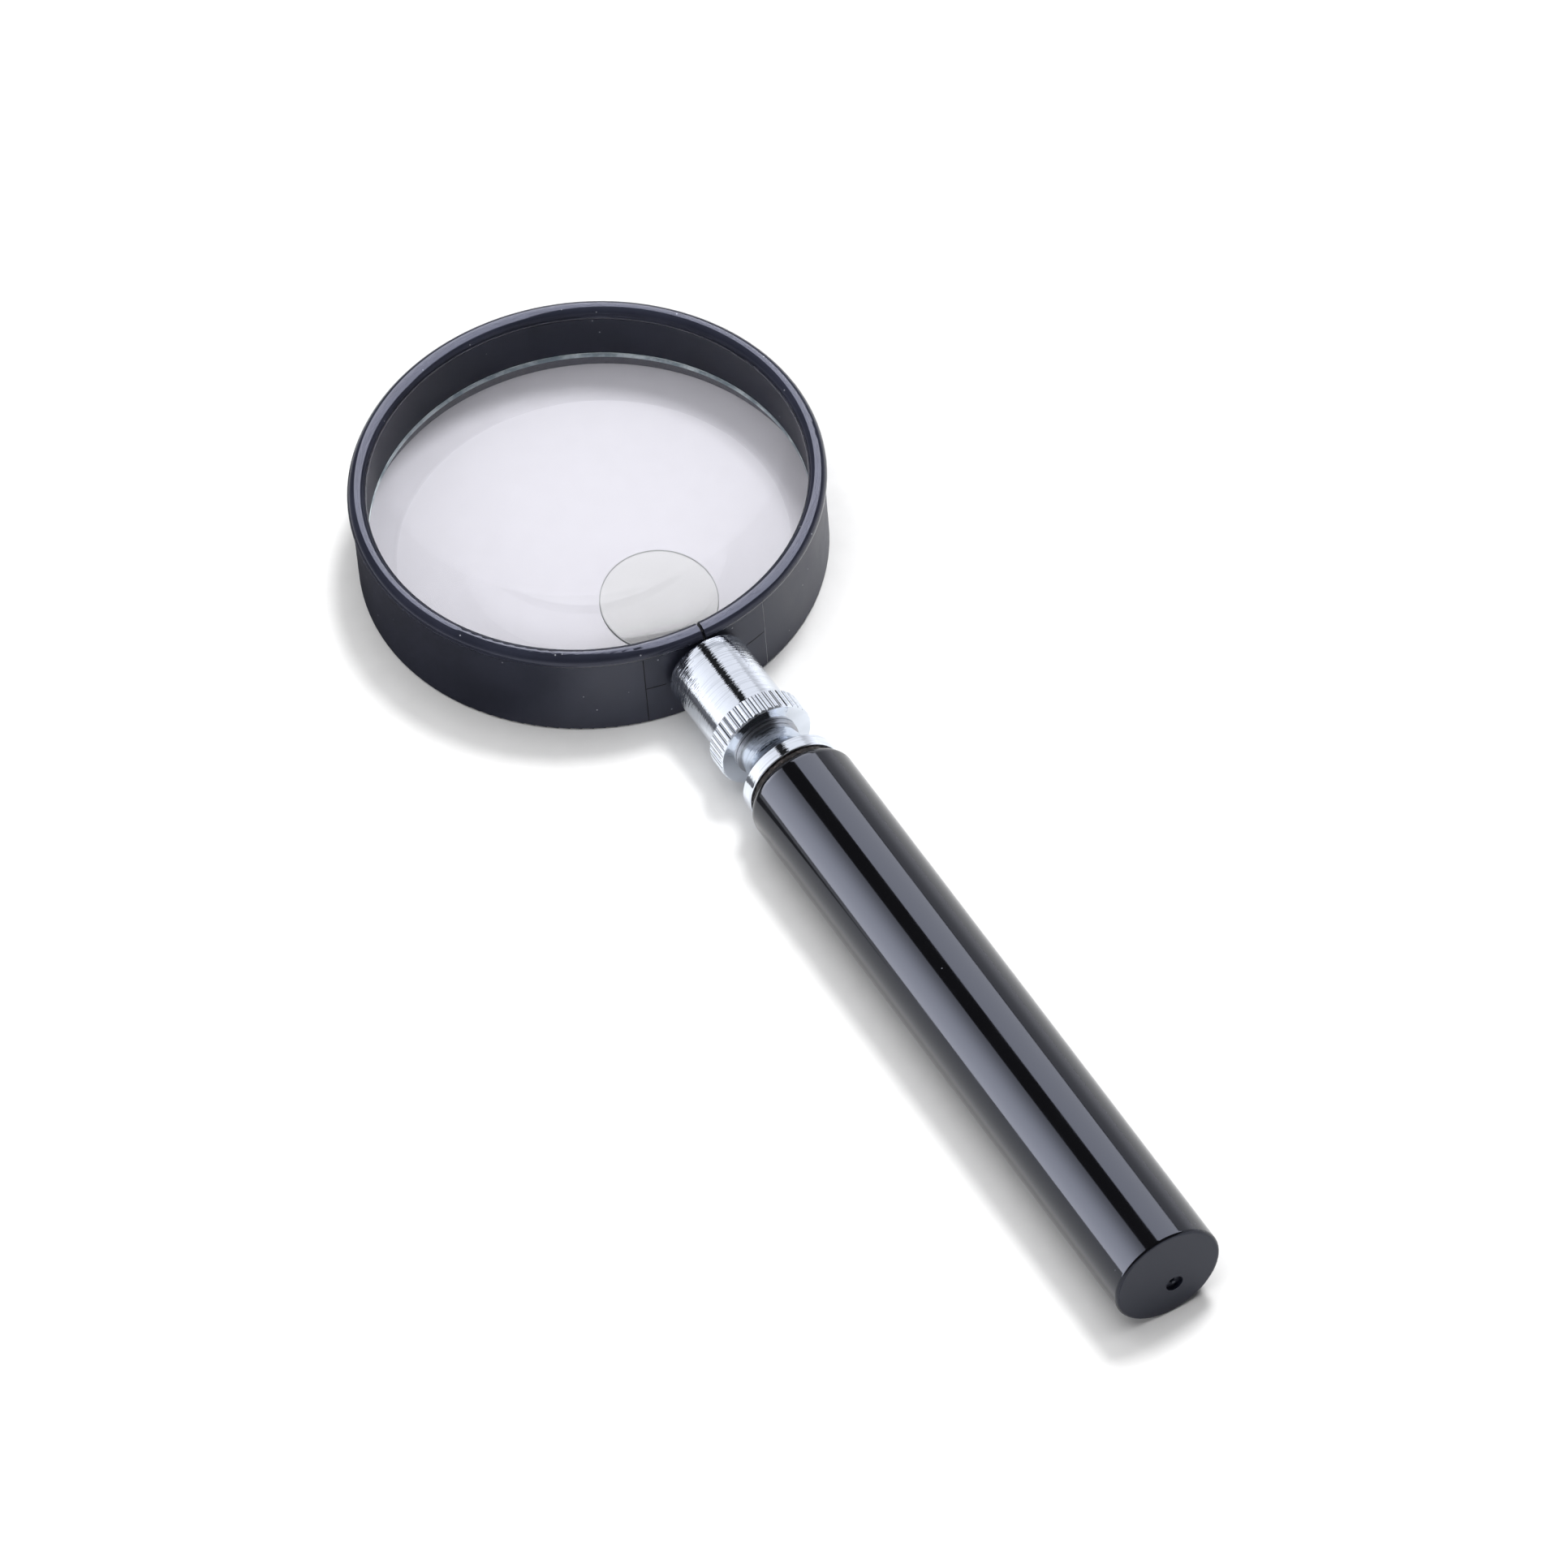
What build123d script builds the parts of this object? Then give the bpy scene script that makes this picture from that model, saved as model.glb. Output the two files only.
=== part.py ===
from build123d import *
import math
import os

# Magnifying glass: a 60 mm hand lens in a split moulded rim, clamped shut by a turned and knurled
# ferrule that swivels on the neck of a plain round grip.
#
# Frame, in millimetres: the origin is the centre of the rim's foot circle, straight below the
# centre of the lens. +Z is the optical axis. The handle runs along -Y, and "reach" is a distance
# along it from the optical axis. The rim's foot and the grip's side both rest on z = 0.

# How far a cutting tool runs past the face that it cuts
OVERCUT = 1.0

# Lens and rim
LENS_R = 30.0
LENS_SURFACE_R = 125.0
LENS_EDGE = 1.8
LENS_MID_Z = 4.9
LENS_BEVEL = 0.3
LENS_PLAY = 0.05
LENS_LIP_PLAY = 0.12
RIM_WALL_R = 31.1
RIM_INNER_R = 29.3
RIM_HEIGHT = 14.5
RIM_FOOT_ROUND = 0.35
BEAD_OUTER_R = 31.5
BEAD_INNER_R = 29.0
BEAD_HEIGHT = 2.0
BEAD_ROUND = 1.2
BEAD_UNDER_ROUND = 0.7
SPLIT_WIDTH = 0.45

# Cemented reading segment of higher power
SEGMENT_R = 7.8
SEGMENT_REACH = 18.7
SEGMENT_SURFACE_R = 34.0
SEGMENT_EDGE = 0.45
CEMENT = 0.02

# Handle line
GRIP_R = 7.5
AXIS_Z = GRIP_R
TOTAL_LENGTH = 180.0
BUTT_REACH = TOTAL_LENGTH - BEAD_OUTER_R

# Split stub of the rim, with its thread drawn as rings at the real pitch
STUB_R = 4.6
STUB_ROOT_REACH = 29.6
STUB_TIP_REACH = 40.4
STUB_LEAD = 0.6
THREAD_PITCH = 1.5
THREAD_DEPTH = 0.45
THREAD_ROOT_WIDTH = 0.2
THREAD_FLANK_DEGREES = 30
THREAD_FIRST_REACH = 32.6
THREAD_TURNS = 5

# Clamp ferrule
FERRULE_REACH = 31.65
SLEEVE_R = 5.7
KNURL_REACH = 43.8
KNURL_R = 6.7
KNURL_RIBS = 40
RIB_R = 0.62
FLANGE_REACH = 47.1
FERRULE_BORE_R = 4.68
FERRULE_LEAD = 0.3
WEB_REACH = 45.1
WEB_HOLE_R = 2.95
EDGE_BREAK = 0.25

# Neck, turned from one bar, and the pieces on it
SPIGOT_R = 2.9
SPIGOT_TIP_REACH = 45.0
WASHER_R = 4.5
WASHER_GAP = 0.05
NECK_REACH = 47.6
NECK_ROOT_R = 4.1
NECK_FLARE_R = 6.35
COLLAR_REACH = 52.75
COLLAR_END_REACH = 54.7
COLLAR_R = 6.7
COLLAR_EDGE_BREAK = 0.1
SHANK_R = 5.0
SHANK_END_REACH = 69.0
TAPPED_R = 1.5
TAPPED_END_REACH = 58.0

# Retaining screw
SCREW_R = 1.45
SCREW_END_REACH = 56.0
SCREW_HEAD_R = 4.0
SCREW_HEAD = 1.8
SCREW_HEAD_ROUND = 0.3
SCREW_SLOT_WIDTH = 0.9
SCREW_SLOT_DEPTH = 0.8

# Grip
GRIP_REACH = 55.6
SHOULDER_ROUND = 1.4
GRIP_BORE_R = 5.03
GRIP_BORE_END_REACH = 144.5
GRIP_BORE_ROUND = 1.0
BUTT_ROUND = 0.45
GATE_X = 0.8
GATE_DROP = 2.1
GATE_R = 1.2
GATE_DEPTH = 0.6
GATE_NUB_R = 0.4
GATE_NUB_TIP_R = 0.24
GATE_NUB_HEIGHT = 0.35
ADHESIVE_R = 6.5
ADHESIVE_FILM = 0.03
ADHESIVE_ROUND = 0.15

HANDLE_AXIS = Axis((0, 0, AXIS_Z), (0, -1, 0))
HANDLE_PLANE = Plane(origin=(0, 0, AXIS_Z), x_dir=(1, 0, 0), z_dir=(0, 0, 1))


def turned(points, rounds=None):
    """Solid of revolution about the handle line, from (radius, reach) corners.

    rounds maps a corner's place in the list to the radius of the round on it."""
    face = rounded_face([(radius, -reach) for radius, reach in points], rounds or {})
    return revolve(HANDLE_PLANE * face, HANDLE_AXIS)


def rounded_face(corners, rounds):
    """Flat face through the corners, with rounds on some of them."""
    face = make_face(Polyline(*corners, close=True))
    for place, radius in rounds.items():
        corner = Vector(*corners[place])
        vertex = min(face.vertices(), key=lambda v: (Vector(v) - corner).length)
        face = fillet(vertex, radius)
    return face


def rod(radius, start, end):
    """Plain cylinder on the handle line between two reaches."""
    return turned([(0, start), (radius, start), (radius, end), (0, end)])


def sagitta(surface_r, aperture_r):
    """Height of a spherical cap over its rim."""
    return surface_r - math.sqrt(surface_r**2 - aperture_r**2)


def rim_ring():
    """Band with its rolled top bead and the groove that holds the lens."""
    wall_top = RIM_HEIGHT - BEAD_HEIGHT / 2
    wall = rounded_face(
        [(RIM_INNER_R, 0), (RIM_WALL_R, 0), (RIM_WALL_R, wall_top), (RIM_INNER_R, wall_top)],
        {0: RIM_FOOT_ROUND, 1: RIM_FOOT_ROUND},
    )
    bead_low = RIM_HEIGHT - BEAD_HEIGHT
    bead = rounded_face(
        [
            (BEAD_INNER_R, bead_low),
            (BEAD_OUTER_R, bead_low),
            (BEAD_OUTER_R, RIM_HEIGHT),
            (BEAD_INNER_R, RIM_HEIGHT),
        ],
        {0: BEAD_UNDER_ROUND, 1: BEAD_UNDER_ROUND, 2: BEAD_ROUND, 3: BEAD_ROUND},
    )
    band = revolve(Plane.XZ * (wall + bead), Axis.Z)
    groove = Pos(0, 0, LENS_MID_Z) * Cylinder(LENS_R + LENS_PLAY, LENS_EDGE + 2 * LENS_LIP_PLAY)
    return band - groove


def stub():
    """Round stub with ring-shaped thread grooves and a chamfered lead."""
    shaft = turned(
        [
            (0, STUB_ROOT_REACH),
            (STUB_R, STUB_ROOT_REACH),
            (STUB_R, STUB_TIP_REACH - STUB_LEAD),
            (STUB_R - STUB_LEAD, STUB_TIP_REACH),
            (0, STUB_TIP_REACH),
        ]
    )
    root_r = STUB_R - THREAD_DEPTH
    root_half = THREAD_ROOT_WIDTH / 2
    tool_r = STUB_R + THREAD_DEPTH
    tool_half = root_half + (tool_r - root_r) * math.tan(math.radians(THREAD_FLANK_DEGREES))
    for turn in range(THREAD_TURNS):
        middle = THREAD_FIRST_REACH + turn * THREAD_PITCH
        shaft -= turned(
            [
                (root_r, middle - root_half),
                (tool_r, middle - tool_half),
                (tool_r, middle + tool_half),
                (root_r, middle + root_half),
            ]
        )
    return shaft


def lens_rim():
    """One moulding: the band and two half stubs, parted by the split."""
    inside = Cylinder((RIM_INNER_R + RIM_WALL_R) / 2, 2 * RIM_HEIGHT)
    body = rim_ring() + (stub() - inside)
    split_start = BEAD_INNER_R - OVERCUT
    split_end = STUB_TIP_REACH + OVERCUT
    split = Pos(0, -(split_start + split_end) / 2, RIM_HEIGHT / 2)
    return body - split * Box(SPLIT_WIDTH, split_end - split_start, RIM_HEIGHT + 2 * OVERCUT)


def lens_centre_height():
    """Height of the lens's faces over its middle plane, on the optical axis."""
    return LENS_EDGE / 2 + sagitta(LENS_SURFACE_R, LENS_R - LENS_BEVEL)


def main_lens():
    """Double-convex glass with a ground edge and small bevels."""
    clear_r = LENS_R - LENS_BEVEL
    apex = lens_centre_height()
    half_r = clear_r / 2
    half_height = apex - sagitta(LENS_SURFACE_R, half_r)
    edge = LENS_EDGE / 2
    top = ThreePointArc((0, apex), (half_r, half_height), (clear_r, edge))
    ground_edge = Polyline(
        (clear_r, edge),
        (LENS_R, edge - LENS_BEVEL),
        (LENS_R, LENS_BEVEL - edge),
        (clear_r, -edge),
    )
    bottom = ThreePointArc((clear_r, -edge), (half_r, -half_height), (0, -apex))
    axis_line = Line((0, -apex), (0, apex))
    half_section = Plane.XZ * make_face([top, ground_edge, bottom, axis_line])
    return Pos(0, 0, LENS_MID_Z) * revolve(half_section, Axis.Z)


def bifocal_lens():
    """Small round segment cemented on the upper face, its axis square to that face."""
    tilt = math.degrees(math.asin(SEGMENT_REACH / LENS_SURFACE_R))
    centre_z = LENS_MID_Z + lens_centre_height() - LENS_SURFACE_R
    seat = Pos(0, 0, centre_z) * Rot(tilt, 0, 0)
    edge_height = LENS_SURFACE_R - sagitta(LENS_SURFACE_R, SEGMENT_R) + SEGMENT_EDGE
    apex_height = edge_height + sagitta(SEGMENT_SURFACE_R, SEGMENT_R)
    blank = seat * Pos(0, 0, LENS_SURFACE_R) * Cylinder(SEGMENT_R, SEGMENT_R)
    cap = seat * Pos(0, 0, apex_height - SEGMENT_SURFACE_R) * Sphere(SEGMENT_SURFACE_R)
    lens_face = Pos(0, 0, centre_z) * Sphere(LENS_SURFACE_R + CEMENT)
    return (blank & cap) - lens_face


def clamp_ferrule():
    """Turned swivel nut: plain sleeve, ring of rounded ribs, and a web that runs on the spigot."""
    sleeve = turned(
        [
            (0, FERRULE_REACH),
            (SLEEVE_R, FERRULE_REACH),
            (SLEEVE_R, WEB_REACH),
            (0, WEB_REACH),
        ],
        {1: EDGE_BREAK},
    )
    outline = turned(
        [
            (0, KNURL_REACH),
            (KNURL_R - EDGE_BREAK, KNURL_REACH),
            (KNURL_R, KNURL_REACH + EDGE_BREAK),
            (KNURL_R, FLANGE_REACH - EDGE_BREAK),
            (KNURL_R - EDGE_BREAK, FLANGE_REACH),
            (0, FLANGE_REACH),
        ]
    )
    rib_centre_r = KNURL_R - RIB_R
    section = Circle(rib_centre_r) + PolarLocations(rib_centre_r, KNURL_RIBS) * Circle(RIB_R)
    knurl_plane = Plane(origin=(0, -KNURL_REACH, AXIS_Z), z_dir=(0, -1, 0))
    ribbed = extrude(knurl_plane * section, FLANGE_REACH - KNURL_REACH)
    bore = turned(
        [
            (0, FERRULE_REACH - OVERCUT),
            (FERRULE_BORE_R + FERRULE_LEAD + OVERCUT, FERRULE_REACH - OVERCUT),
            (FERRULE_BORE_R, FERRULE_REACH + FERRULE_LEAD),
            (FERRULE_BORE_R, WEB_REACH),
            (0, WEB_REACH),
        ]
    )
    web_hole = rod(WEB_HOLE_R, WEB_REACH - OVERCUT, FLANGE_REACH + OVERCUT)
    return sleeve + (outline & ribbed) - bore - web_hole


def thrust_washer():
    """Thin washer between the flange and the neck's shoulder."""
    start = FLANGE_REACH + WASHER_GAP
    end = NECK_REACH - WASHER_GAP
    return turned([(WEB_HOLE_R, start), (WASHER_R, start), (WASHER_R, end), (WEB_HOLE_R, end)])


def neck():
    """Turned insert: spigot, flared waist, collar, and the shank that is bonded into the grip."""
    rise = COLLAR_REACH - NECK_REACH
    step = NECK_FLARE_R - NECK_ROOT_R
    flare_r = (rise**2 + step**2) / (2 * step)
    flare_centre = (NECK_ROOT_R + flare_r, -NECK_REACH)
    flare = CenterArc(flare_centre, flare_r, 180, math.degrees(math.asin(rise / flare_r)))
    outline = Polyline(
        flare @ 1,
        (COLLAR_R - COLLAR_EDGE_BREAK, -COLLAR_REACH),
        (COLLAR_R, -COLLAR_REACH - COLLAR_EDGE_BREAK),
        (COLLAR_R, -COLLAR_END_REACH + COLLAR_EDGE_BREAK),
        (COLLAR_R - COLLAR_EDGE_BREAK, -COLLAR_END_REACH),
        (SHANK_R, -COLLAR_END_REACH),
        (SHANK_R, -SHANK_END_REACH),
        (0, -SHANK_END_REACH),
        (0, -SPIGOT_TIP_REACH),
        (SPIGOT_R, -SPIGOT_TIP_REACH),
        (SPIGOT_R, -NECK_REACH),
        flare @ 0,
    )
    body = revolve(HANDLE_PLANE * make_face([flare, outline]), HANDLE_AXIS)
    return body - rod(TAPPED_R, SPIGOT_TIP_REACH - OVERCUT, TAPPED_END_REACH)


def neck_screw():
    """Slotted cheese-head screw that keeps the ferrule on the spigot."""
    head_start = SPIGOT_TIP_REACH - SCREW_HEAD
    body = turned(
        [
            (0, head_start),
            (SCREW_HEAD_R, head_start),
            (SCREW_HEAD_R, SPIGOT_TIP_REACH),
            (SCREW_R, SPIGOT_TIP_REACH),
            (SCREW_R, SCREW_END_REACH),
            (0, SCREW_END_REACH),
        ],
        {1: SCREW_HEAD_ROUND},
    )
    slot = Pos(0, -(head_start + SCREW_SLOT_DEPTH / 2), AXIS_Z)
    return body - slot * Box(SCREW_SLOT_WIDTH, SCREW_SLOT_DEPTH, 3 * SCREW_HEAD_R)


def adhesive_ring():
    """Bead of cured black adhesive squeezed out between collar and grip."""
    start = COLLAR_END_REACH + ADHESIVE_FILM
    end = GRIP_REACH - ADHESIVE_FILM
    inner = SHANK_R + ADHESIVE_FILM
    corners = [(inner, start), (ADHESIVE_R, start), (ADHESIVE_R, end), (inner, end)]
    return turned(corners, {1: ADHESIVE_ROUND, 2: ADHESIVE_ROUND})


def handle_grip():
    """Blind moulded tube with a rounded shoulder, a flat butt and the gate mark in it."""
    body = turned(
        [
            (GRIP_BORE_R, GRIP_REACH),
            (GRIP_R, GRIP_REACH),
            (GRIP_R, BUTT_REACH),
            (0, BUTT_REACH),
            (0, GRIP_BORE_END_REACH),
            (GRIP_BORE_R, GRIP_BORE_END_REACH),
        ],
        {1: SHOULDER_ROUND, 2: BUTT_ROUND, 5: GRIP_BORE_ROUND},
    )
    gate = Plane(origin=(GATE_X, -BUTT_REACH, AXIS_Z - GATE_DROP), z_dir=(0, -1, 0))
    dish = gate * Pos(0, 0, -GATE_DEPTH / 2) * Cylinder(GATE_R, GATE_DEPTH)
    nub_place = gate * Pos(0, 0, GATE_NUB_HEIGHT / 2 - GATE_DEPTH)
    nub = nub_place * Cone(GATE_NUB_R, GATE_NUB_TIP_R, GATE_NUB_HEIGHT)
    return body - dish + nub


PARTS = {
    "lens_rim": lens_rim,
    "main_lens": main_lens,
    "bifocal_lens": bifocal_lens,
    "clamp_ferrule": clamp_ferrule,
    "thrust_washer": thrust_washer,
    "neck": neck,
    "neck_screw": neck_screw,
    "adhesive_ring": adhesive_ring,
    "handle_grip": handle_grip,
}

os.makedirs("parts", exist_ok=True)
for name, build in PARTS.items():
    export_step(build(), f"parts/{name}.step")
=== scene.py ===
import math
import bmesh
import bpy
from mathutils import Matrix, Vector, noise


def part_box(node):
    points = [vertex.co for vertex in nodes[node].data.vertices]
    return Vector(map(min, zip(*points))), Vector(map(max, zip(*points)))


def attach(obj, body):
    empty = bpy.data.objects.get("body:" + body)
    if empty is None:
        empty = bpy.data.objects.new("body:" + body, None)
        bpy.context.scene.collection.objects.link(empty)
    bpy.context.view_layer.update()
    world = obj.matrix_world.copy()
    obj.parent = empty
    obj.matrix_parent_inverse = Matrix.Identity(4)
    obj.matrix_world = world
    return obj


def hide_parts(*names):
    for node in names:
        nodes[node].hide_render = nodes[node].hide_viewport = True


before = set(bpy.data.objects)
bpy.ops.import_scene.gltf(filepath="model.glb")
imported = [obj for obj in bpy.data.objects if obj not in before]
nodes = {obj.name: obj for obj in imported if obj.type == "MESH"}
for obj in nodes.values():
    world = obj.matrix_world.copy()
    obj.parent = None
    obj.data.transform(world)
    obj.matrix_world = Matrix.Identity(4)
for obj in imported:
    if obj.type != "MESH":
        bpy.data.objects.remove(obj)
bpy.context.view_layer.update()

# ---- Lens rim ----
# One injection moulding in black ABS: a deep band under a rolled top bead, split on the handle side.
# The mould's walls were lightly grained, so the band is satin; the bead's mould was polished.
# The core that forms the stub leaves fine witness lines on the wall round the ferrule.
MM = 0.001
RIM_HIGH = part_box("lens_rim")[1]
BEAD_LOW_Z = RIM_HIGH.z - 2.0 * MM
BEAD_FADE = 0.2 * MM
WALL_R = RIM_HIGH.x - 0.4 * MM
WALL_ROUGHNESS = (0.36, 0.48)
BEAD_ROUGHNESS = 0.09
RIM_CLOUD = 9 * MM
RIM_GRAIN = 0.22 * MM
RIM_GRAIN_DEPTH = 0.012 * MM
BEAD_GRAIN_LOSS = -0.85
RIM_DUST_SPACING = 2.2 * MM
RIM_DUST_CORE = 0.035
RIM_DUST_EDGE = 0.06
DUST_GREY = "8a8c94"
WITNESS_WIDTH = 0.14 * MM
WITNESS_PROUD = 0.035 * MM
WITNESS_PATCH = 1.5 * MM
WITNESS_LEFT = math.radians(-15.6)
WITNESS_RIGHT = math.radians(18)
WITNESS_FOOT_Z = 0.35 * MM
WITNESS_TOP_Z = BEAD_LOW_Z + 0.2 * MM
WITNESS_LEVEL_Z = 6.7 * MM
RIDGE_PROFILE = ((-1, -1), (-0.5, 0.75), (0, 1), (0.5, 0.75), (1, -1))
FERRULE_SLEEVE_R = 5.7 * MM


def linear(code):
    """Linear RGBA from an sRGB hex colour."""
    values = [int(code[i : i + 2], 16) / 255 for i in (0, 2, 4)]
    return [v / 12.92 if v <= 0.04045 else ((v + 0.055) / 1.055) ** 2.4 for v in values] + [1.0]


def new_material(name):
    """Node material with nothing in it but its output."""
    material = bpy.data.materials.new(name)
    material.use_nodes = True
    tree = material.node_tree
    tree.nodes.clear()
    return material, tree, tree.nodes.new("ShaderNodeOutputMaterial")


def add(tree, kind, settings=None, **sockets):
    """Adds one node. Each socket gets a value, or a link from another node's output."""
    node = tree.nodes.new("ShaderNode" + kind)
    for name, value in (settings or {}).items():
        setattr(node, name, value)
    for name, value in sockets.items():
        key = int(name[3:]) if name.startswith("in_") else name.replace("_", " ")
        if isinstance(value, bpy.types.NodeSocket):
            tree.links.new(value, node.inputs[key])
        else:
            node.inputs[key].default_value = value
    return node


def ramp(tree, factor, *stops):
    """Colour ramp through (place, hex colour) stops."""
    node = add(tree, "ValToRGB", Fac=factor)
    elements = node.color_ramp.elements
    while len(elements) < len(stops):
        elements.new(0.5)
    for element, (place, code) in zip(elements, stops):
        element.position = place
        element.color = linear(code)
    return node.outputs["Color"]


def coat(node, material):
    """Gives a CAD node this material on every slot."""
    node.data.materials.clear()
    node.data.materials.append(material)


# Satin black plastic: soft broad reflections on the wall, a bright line on the bead, a little dust.
rim_abs, tree, output = new_material("moulded_black_abs")
place = add(tree, "TexCoord").outputs["Object"]
height = add(tree, "SeparateXYZ", Vector=place).outputs["Z"]
on_bead = add(
    tree, "MapRange", {"interpolation_type": "SMOOTHSTEP"},
    Value=height, From_Min=BEAD_LOW_Z - BEAD_FADE, From_Max=BEAD_LOW_Z + BEAD_FADE,
).outputs["Result"]
grain = add(tree, "TexNoise", Vector=place, Scale=1 / RIM_GRAIN, Detail=2.0).outputs["Fac"]
cloud = add(tree, "TexNoise", Vector=place, Scale=1 / RIM_CLOUD, Detail=4.0).outputs["Fac"]
specks = add(tree, "TexVoronoi", Vector=place, Scale=1 / RIM_DUST_SPACING).outputs["Distance"]
dust = add(
    tree, "MapRange",
    Value=specks, From_Min=RIM_DUST_CORE, From_Max=RIM_DUST_EDGE, To_Min=1.0, To_Max=0.0,
).outputs["Result"]
body_colour = ramp(tree, cloud, (0.3, "21232d"), (0.7, "2a2c38"))
wall_colour = add(
    tree, "Mix", {"data_type": "RGBA"}, in_0=dust, in_6=body_colour, in_7=linear(DUST_GREY)
).outputs[2]
wall_roughness = add(
    tree, "MapRange",
    Value=cloud, From_Min=0.3, From_Max=0.7, To_Min=WALL_ROUGHNESS[0], To_Max=WALL_ROUGHNESS[1],
).outputs["Result"]
roughness = add(tree, "Mix", in_0=on_bead, in_2=wall_roughness, in_3=BEAD_ROUGHNESS).outputs[0]
grain_depth = add(
    tree, "Math", {"operation": "MULTIPLY_ADD"}, in_0=on_bead, in_1=BEAD_GRAIN_LOSS, in_2=1.0
).outputs[0]
grain_height = add(tree, "Math", {"operation": "MULTIPLY"}, in_0=grain, in_1=grain_depth).outputs[0]
grained = add(tree, "Bump", Height=grain_height, Strength=0.5, Distance=RIM_GRAIN_DEPTH)
plastic = add(
    tree, "BsdfPrincipled",
    Base_Color=wall_colour, Roughness=roughness, IOR=1.5, Normal=grained.outputs["Normal"],
    Specular_Tint=linear("d6daf0"),
)
tree.links.new(plastic.outputs["BSDF"], output.inputs["Surface"])
coat(nodes["lens_rim"], rim_abs)


def finish_piece(name, mesh, material, body):
    """Puts a new mesh in the scene with its material and body."""
    piece = bpy.data.objects.new(name, mesh)
    bpy.context.scene.collection.objects.link(piece)
    mesh.materials.append(material)
    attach(piece, body)
    return piece


def finish_mesh(shape, mesh):
    """Turns the faces outward, smooths them and writes them to the mesh."""
    bmesh.ops.recalc_face_normals(shape, faces=shape.faces)
    for face in shape.faces:
        face.smooth = True
    shape.to_mesh(mesh)
    shape.free()
    return mesh


def wall_strip(name, path, width, proud):
    """Low rounded ridge on the rim's wall along (angle from the handle, height) points."""
    shape = bmesh.new()
    rows = []
    for (angle, z), (next_angle, next_z) in zip(path, path[1:] + path[-2:-1]):
        along = Vector(((next_angle - angle) * WALL_R, next_z - z)).normalized()
        if (angle, z) == path[-1]:
            along = -along
        across = Vector((-along.y, along.x)) * width / 2
        row = []
        for share, rise in RIDGE_PROFILE:
            a = angle + share * across.x / WALL_R
            r = WALL_R + rise * proud
            row.append(shape.verts.new((r * math.sin(a), -r * math.cos(a), z + share * across.y)))
        rows.append(row)
    for row, next_row in zip(rows, rows[1:]):
        for i in range(len(row) - 1):
            shape.faces.new((row[i], row[i + 1], next_row[i + 1], next_row[i]))
        shape.faces.new((row[-1], row[0], next_row[0], next_row[-1]))
    shape.faces.new(rows[0])
    shape.faces.new(rows[-1])
    return finish_mesh(shape, bpy.data.meshes.new(name))


def steps(start, end, count):
    """count + 1 evenly spaced values from start to end."""
    return [start + (end - start) * i / count for i in range(count + 1)]


def witness_plastic(name, dark, light, roughness, ior):
    """Black ABS painted lighter as a painted highlight or darker as painted shade, uneven along its
    length.
    """
    material, tree, output = new_material(name)
    place = add(tree, "TexCoord").outputs["Object"]
    unevenness = add(tree, "TexNoise", Vector=place, Scale=1 / WITNESS_PATCH, Detail=2.0).outputs["Fac"]
    colour = ramp(tree, unevenness, (0.35, dark), (0.65, light))
    strip = add(tree, "BsdfPrincipled", Base_Color=colour, Roughness=roughness, IOR=ior)
    tree.links.new(strip.outputs["BSDF"], output.inputs["Surface"])
    return material


# The thin flash on the right is painted grey, a painted highlight for the light it catches; the dull
# parting steps are painted black as painted shade.
painted_highlight_abs = witness_plastic("moulded_black_abs_painted_highlight", "6c6d74", "82838a", 0.3, 1.52)
shadow_abs = witness_plastic("moulded_black_abs_painted_shade", "040405", "070708", 0.7, 1.3)
# The left upright and both level lines carry the painted shade; the right upright carries the painted
# highlight.
for side, angle, material in (("left", WITNESS_LEFT, shadow_abs), ("right", WITNESS_RIGHT, painted_highlight_abs)):
    upright = [(angle, z) for z in steps(WITNESS_FOOT_Z, WITNESS_TOP_Z, 12)]
    mesh = wall_strip(f"witness_line_{side}", upright, WITNESS_WIDTH, WITNESS_PROUD)
    finish_piece(f"witness_line_{side}", mesh, material, "lens_head")
    inner_angle = math.copysign(math.asin(FERRULE_SLEEVE_R / WALL_R), angle)
    level = [(a, WITNESS_LEVEL_Z) for a in steps(angle, inner_angle, 6)]
    mesh = wall_strip(f"witness_level_{side}", level, WITNESS_WIDTH * 1.3, WITNESS_PROUD / 2)
    finish_piece(f"witness_level_{side}", mesh, shadow_abs, "lens_head")

# ---- Main lens ----
# Double-convex crown glass, ground and polished on both faces. Its edge is only ground, so it is
# frosted white. Light passes through it, so its shadow is nearly clear.
LENS_LOW, LENS_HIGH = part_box("main_lens")
LENS_R = LENS_HIGH.x
LENS_CENTRE = (LENS_LOW + LENS_HIGH) / 2
LENS_SURFACE_R = 125 * MM
LENS_EDGE = 1.8 * MM
LENS_BEVEL = 0.3 * MM
SEAT_WIDTH = 0.9 * MM
SEAT_FADE = 0.1 * MM
FROST_PATCH = 5 * MM
LATHE_SIDES = 192
CREASE_ANGLE = 0.35


def lathed(name, outline, turn):
    """Smooth solid of revolution through (radius, height) points that start and end on the axis."""
    shape = bmesh.new()
    rings = []
    for radius, height in outline:
        ring = []
        for i in range(1 if radius == 0 else LATHE_SIDES):
            a = 2 * math.pi * i / LATHE_SIDES
            point = Vector((radius * math.cos(a), radius * math.sin(a), height))
            ring.append(shape.verts.new(turn @ point))
        rings.append(ring)
    for ring, next_ring in zip(rings, rings[1:]):
        for i in range(LATHE_SIDES):
            ends = [ring[i % len(ring)], ring[(i + 1) % len(ring)]]
            ends += [next_ring[(i + 1) % len(next_ring)], next_ring[i % len(next_ring)]]
            shape.faces.new(list(dict.fromkeys(ends)))
    bmesh.ops.recalc_face_normals(shape, faces=shape.faces)
    for edge in shape.edges:
        edge.smooth = edge.calc_face_angle(0) < CREASE_ANGLE
    return finish_mesh(shape, bpy.data.meshes.new(name))


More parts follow.
